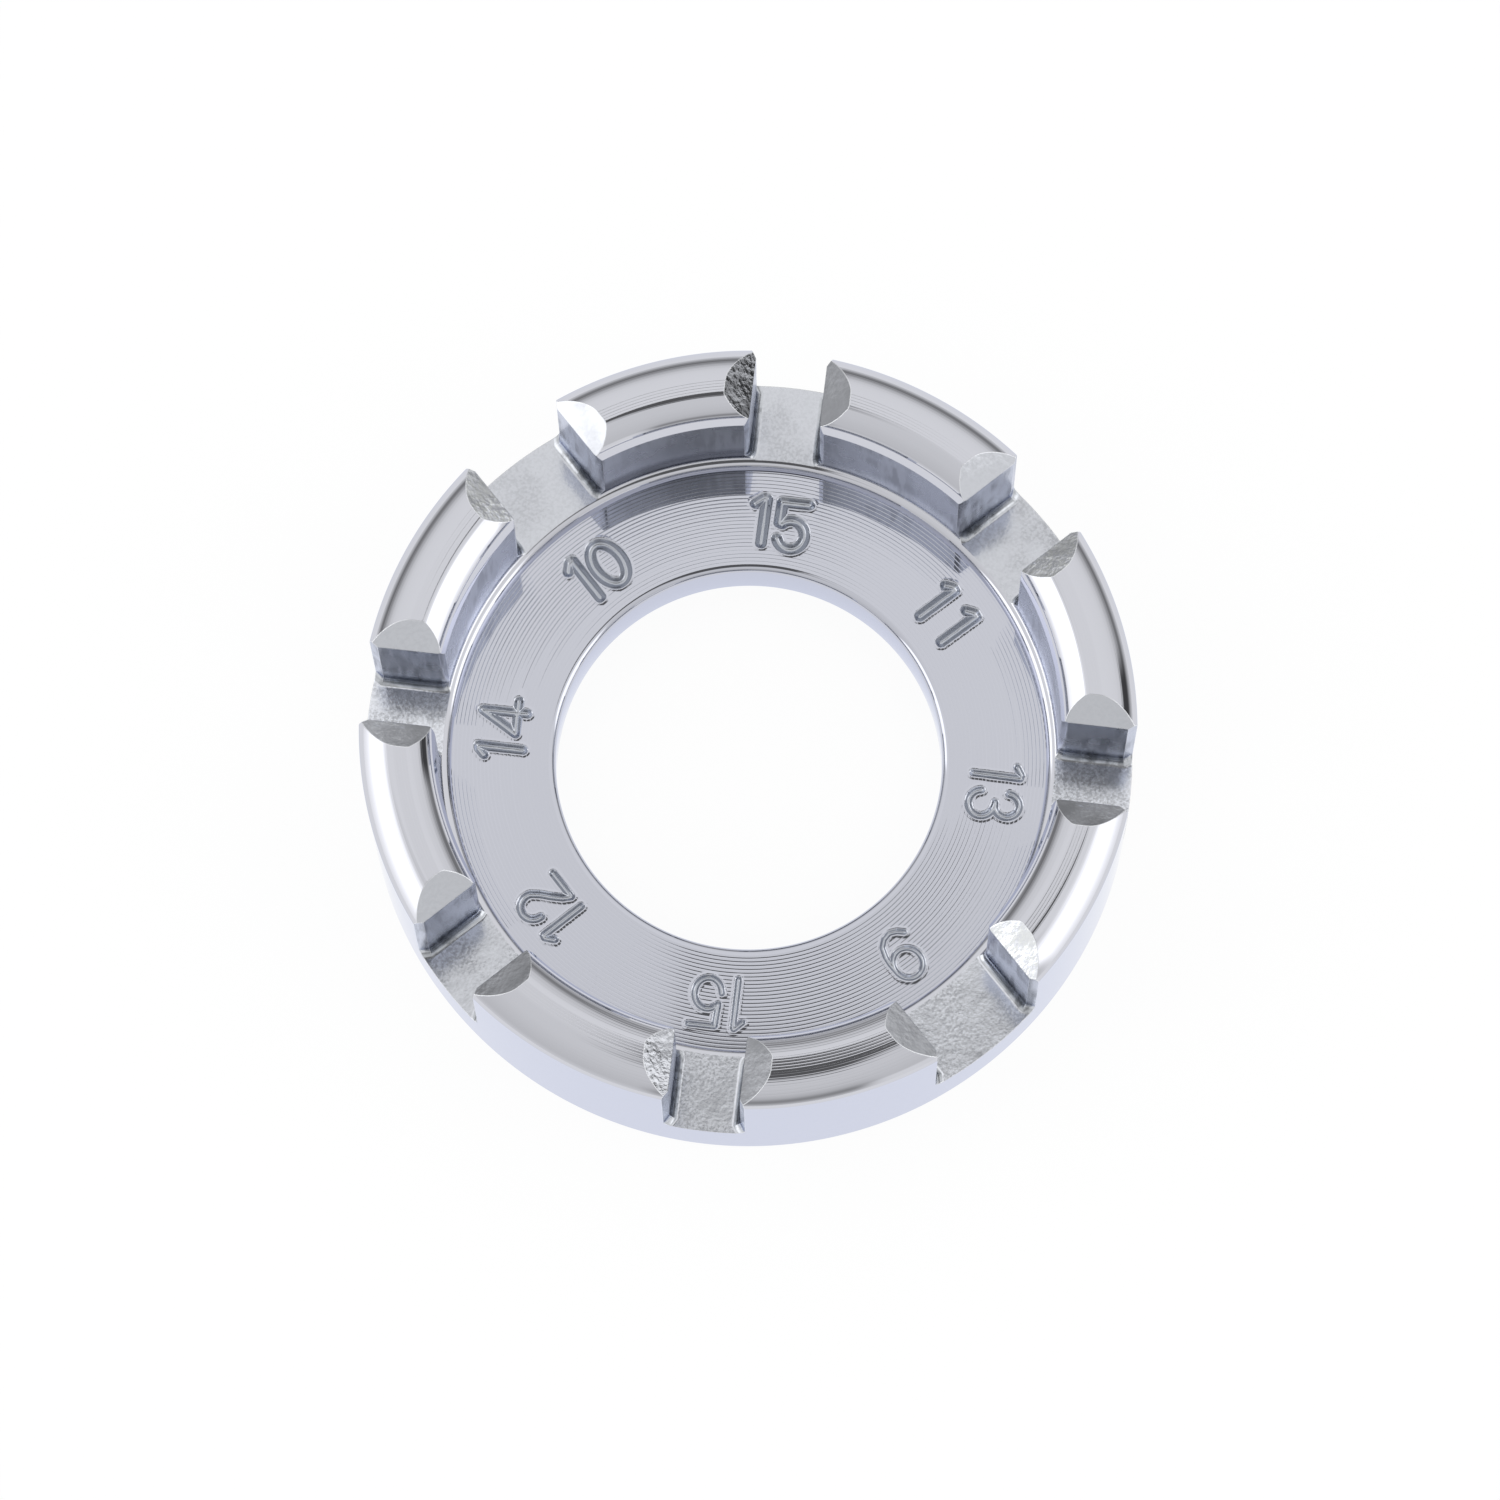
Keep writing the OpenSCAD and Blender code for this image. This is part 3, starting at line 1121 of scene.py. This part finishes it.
def studio_surroundings(tree, stage):
    """What the plating mirrors: pale walls over a dim skirting, a softbox on
    either side, a black flag at the right, and overhead the lens on its bar."""
    direction = tree.nodes.new("ShaderNodeTexCoord").outputs["Generated"]
    right = (math.cos(stage.azimuth), math.sin(stage.azimuth), 0.0)
    away = (-math.sin(stage.azimuth), math.cos(stage.azimuth), 0.0)
    lens = Vector(away) * -math.sin(LENS_LEAN) + Vector((0.0, 0.0, math.cos(LENS_LEAN)))

    # Each step below is (how far the direction points along an axis, where
    # the shape starts, where it is whole)
    def along(axis):
        return vectors(tree, "DOT_PRODUCT", direction, axis)["Value"]

    def step(value, low, high):
        return smooth_step(tree, value, low, high)

    def slant(share):
        return calculate(tree, "ADD", y, product(tree, x, share))

    def all_of(first, *others):
        for other in others:
            first = product(tree, first, other)
        return first

    x, y, z = along(right), along(away), along((0.0, 0.0, 1.0))
    tilt = calculate(tree, "DIVIDE", calculate(tree, "ARCCOSINE", z), math.pi / 2)
    round_about = product(tree, calculate(tree, "ARCTAN2", y, x), 180.0 / math.pi)

    front = by_angle(tree, tilt, FRONT_WALL)
    on_skirting = between(tree, round_about, *SKIRTING_SPAN)
    front = blend(tree, on_skirting, front, by_angle(tree, tilt, SKIRTING))
    corner = all_of(between(tree, round_about, *CORNER_SPAN), step(tilt, *CORNER_FOOT))
    front = blend(tree, corner, front, CORNER_SHADE)
    behind = between(tree, round_about, *BACK_WALL_SPAN)
    shade = blend(tree, behind, front, by_angle(tree, tilt, BACK_WALL))

    flag = all_of(between(tree, round_about, *FLAG_SPAN), between(tree, tilt, *FLAG_HEIGHT))
    shade = blend(tree, flag, shade, FLAG_SHADE)

    left_box = all_of(step(y, 0.3, 0.24), step(x, -0.4, -0.7), step(slant(-1.1), 0.44, 0.54))
    right_box = all_of(step(y, 0.1, 0.02), step(x, 0.4, 0.7), step(slant(0.58), -0.06, 0.04))
    boxes = calculate(tree, "ADD", left_box, right_box)
    shade = blend(tree, boxes, shade, by_angle(tree, tilt, SOFTBOX))

    off_lens = calculate(tree, "ARCCOSINE", along(lens))
    shade = blend(tree, step(off_lens, *LENS_RIM), shade, LENS_SHADE)
    edge_of_bar = calculate(tree, "SUBTRACT", x, product(tree, y, BAR_SLANT))
    bar = all_of(
        step(edge_of_bar, -0.079, -0.059),
        step(x, 0.155, 0.115),
        step(y, 0.1895, 0.187),
        all_of(step(y, -0.37, -0.31), step(z, 0.0, 0.1)),
    )
    shade = blend(tree, bar, shade, BAR_SHADE)

    camera_ray = tree.nodes.new("ShaderNodeLightPath").outputs["Is Camera Ray"]
    background = tree.nodes["Background"]
    tree.links.new(blend(tree, camera_ray, shade, 1.0), background.inputs["Strength"])
    background.inputs["Color"].default_value = (1.0, 1.0, 1.0, 1.0)


def studio_floor(finish):
    """A wide pale floor, white where it is seen and plain as light."""
    bm = bmesh.new()
    bmesh.ops.create_grid(bm, x_segments=8, y_segments=8, size=FLOOR_SIZE)
    floor = new_object("studio_floor", bm)
    paint = bpy.data.materials.new("Floor")
    paint.use_nodes = True
    tree = paint.node_tree
    shader = tree.nodes["Principled BSDF"]
    shader.inputs["Base Color"].default_value = FLOOR_PAINT
    shader.inputs["Roughness"].default_value = 1.0
    shader.inputs["Specular IOR Level"].default_value = 0.0
    glow = tree.nodes.new("ShaderNodeEmission")
    glow.inputs["Color"].default_value = finish.backdrop
    glow.inputs["Strength"].default_value = FLOOR_WHITE
    seen = tree.nodes.new("ShaderNodeMixShader")
    seen.inputs[0].default_value = FLOOR_SHOWS
    tree.links.new(glow.outputs[0], seen.inputs[1])
    tree.links.new(shader.outputs[0], seen.inputs[2])
    surface = white_when_seen(tree, seen.outputs[0], shader.outputs[0])
    tree.links.new(surface, tree.nodes["Material Output"].inputs["Surface"])
    floor.data.materials.append(paint)
    return floor


def photo_camera(stage):
    """The camera at the photograph's angle, at its distance from the aim."""
    x = Vector((1.0, 0.0, 0.0))
    tilt = math.pi / 2 - stage.elevation
    up = Vector((0.0, math.cos(tilt), math.sin(tilt)))
    back_axis = Vector((0.0, -math.sin(tilt), math.cos(tilt)))
    right = x * math.cos(stage.roll) - up * math.sin(stage.roll)
    top = x * math.sin(stage.roll) + up * math.cos(stage.roll)
    pose = Matrix((right, top, back_axis)).transposed().to_4x4()
    pose.translation = right * AIM_RIGHT + top * AIM_UP + back_axis * stage.distance
    data = bpy.data.cameras.new("Photo camera")
    data.sensor_width = 36.0
    data.lens = stage.lens
    data.clip_start = 0.01
    camera = bpy.data.objects.new("Photo camera", data)
    camera.matrix_world = Matrix.Rotation(stage.azimuth, 4, "Z") @ pose
    return camera


class WRENCH_OT_stage(bpy.types.Operator):
    """Sets up the floor, the surroundings and the camera"""

    bl_idname = "wrench.stage"
    bl_label = "Studio"

    def execute(self, context):
        stage = context.scene.wrench_stage
        floor = studio_floor(context.scene.wrench_finish)
        world = bpy.data.worlds.new("Studio")
        context.scene.world = world
        world.use_nodes = True
        studio_surroundings(world.node_tree, stage)
        camera = photo_camera(stage)
        context.scene.collection.objects.link(camera)
        context.scene.camera = camera
        context.scene.view_settings.view_transform = "Standard"
        return {"FINISHED"}


# Add-on


class WRENCH_PT_panel(bpy.types.Panel):
    """Lists the pieces of the spoke wrench"""

    bl_idname = "WRENCH_PT_panel"
    bl_label = "Spoke wrench"
    bl_space_type = "VIEW_3D"
    bl_region_type = "UI"
    bl_category = "Spoke wrench"

    def draw(self, context):
        for key in ("wrench.wall", "wrench.face", "wrench.stage"):
            self.layout.operator(key)


CLASSES = (
    WallSizes,
    FaceSizes,
    Finishes,
    StageSizes,
    WRENCH_OT_wall,
    WRENCH_OT_face,
    WRENCH_OT_stage,
    WRENCH_PT_panel,
)


def register():
    for cls in CLASSES:
        bpy.utils.register_class(cls)
    bpy.types.Scene.wrench_wall = bpy.props.PointerProperty(type=WallSizes)
    bpy.types.Scene.wrench_face = bpy.props.PointerProperty(type=FaceSizes)
    bpy.types.Scene.wrench_finish = bpy.props.PointerProperty(type=Finishes)
    bpy.types.Scene.wrench_stage = bpy.props.PointerProperty(type=StageSizes)


def unregister():
    del bpy.types.Scene.wrench_stage
    del bpy.types.Scene.wrench_finish
    del bpy.types.Scene.wrench_face
    del bpy.types.Scene.wrench_wall
    for cls in reversed(CLASSES):
        bpy.utils.unregister_class(cls)


def main():
    register()
    bpy.ops.wrench.wall()
    bpy.ops.wrench.face()
    bpy.ops.wrench.stage()


if __name__ == "__main__":
    main()
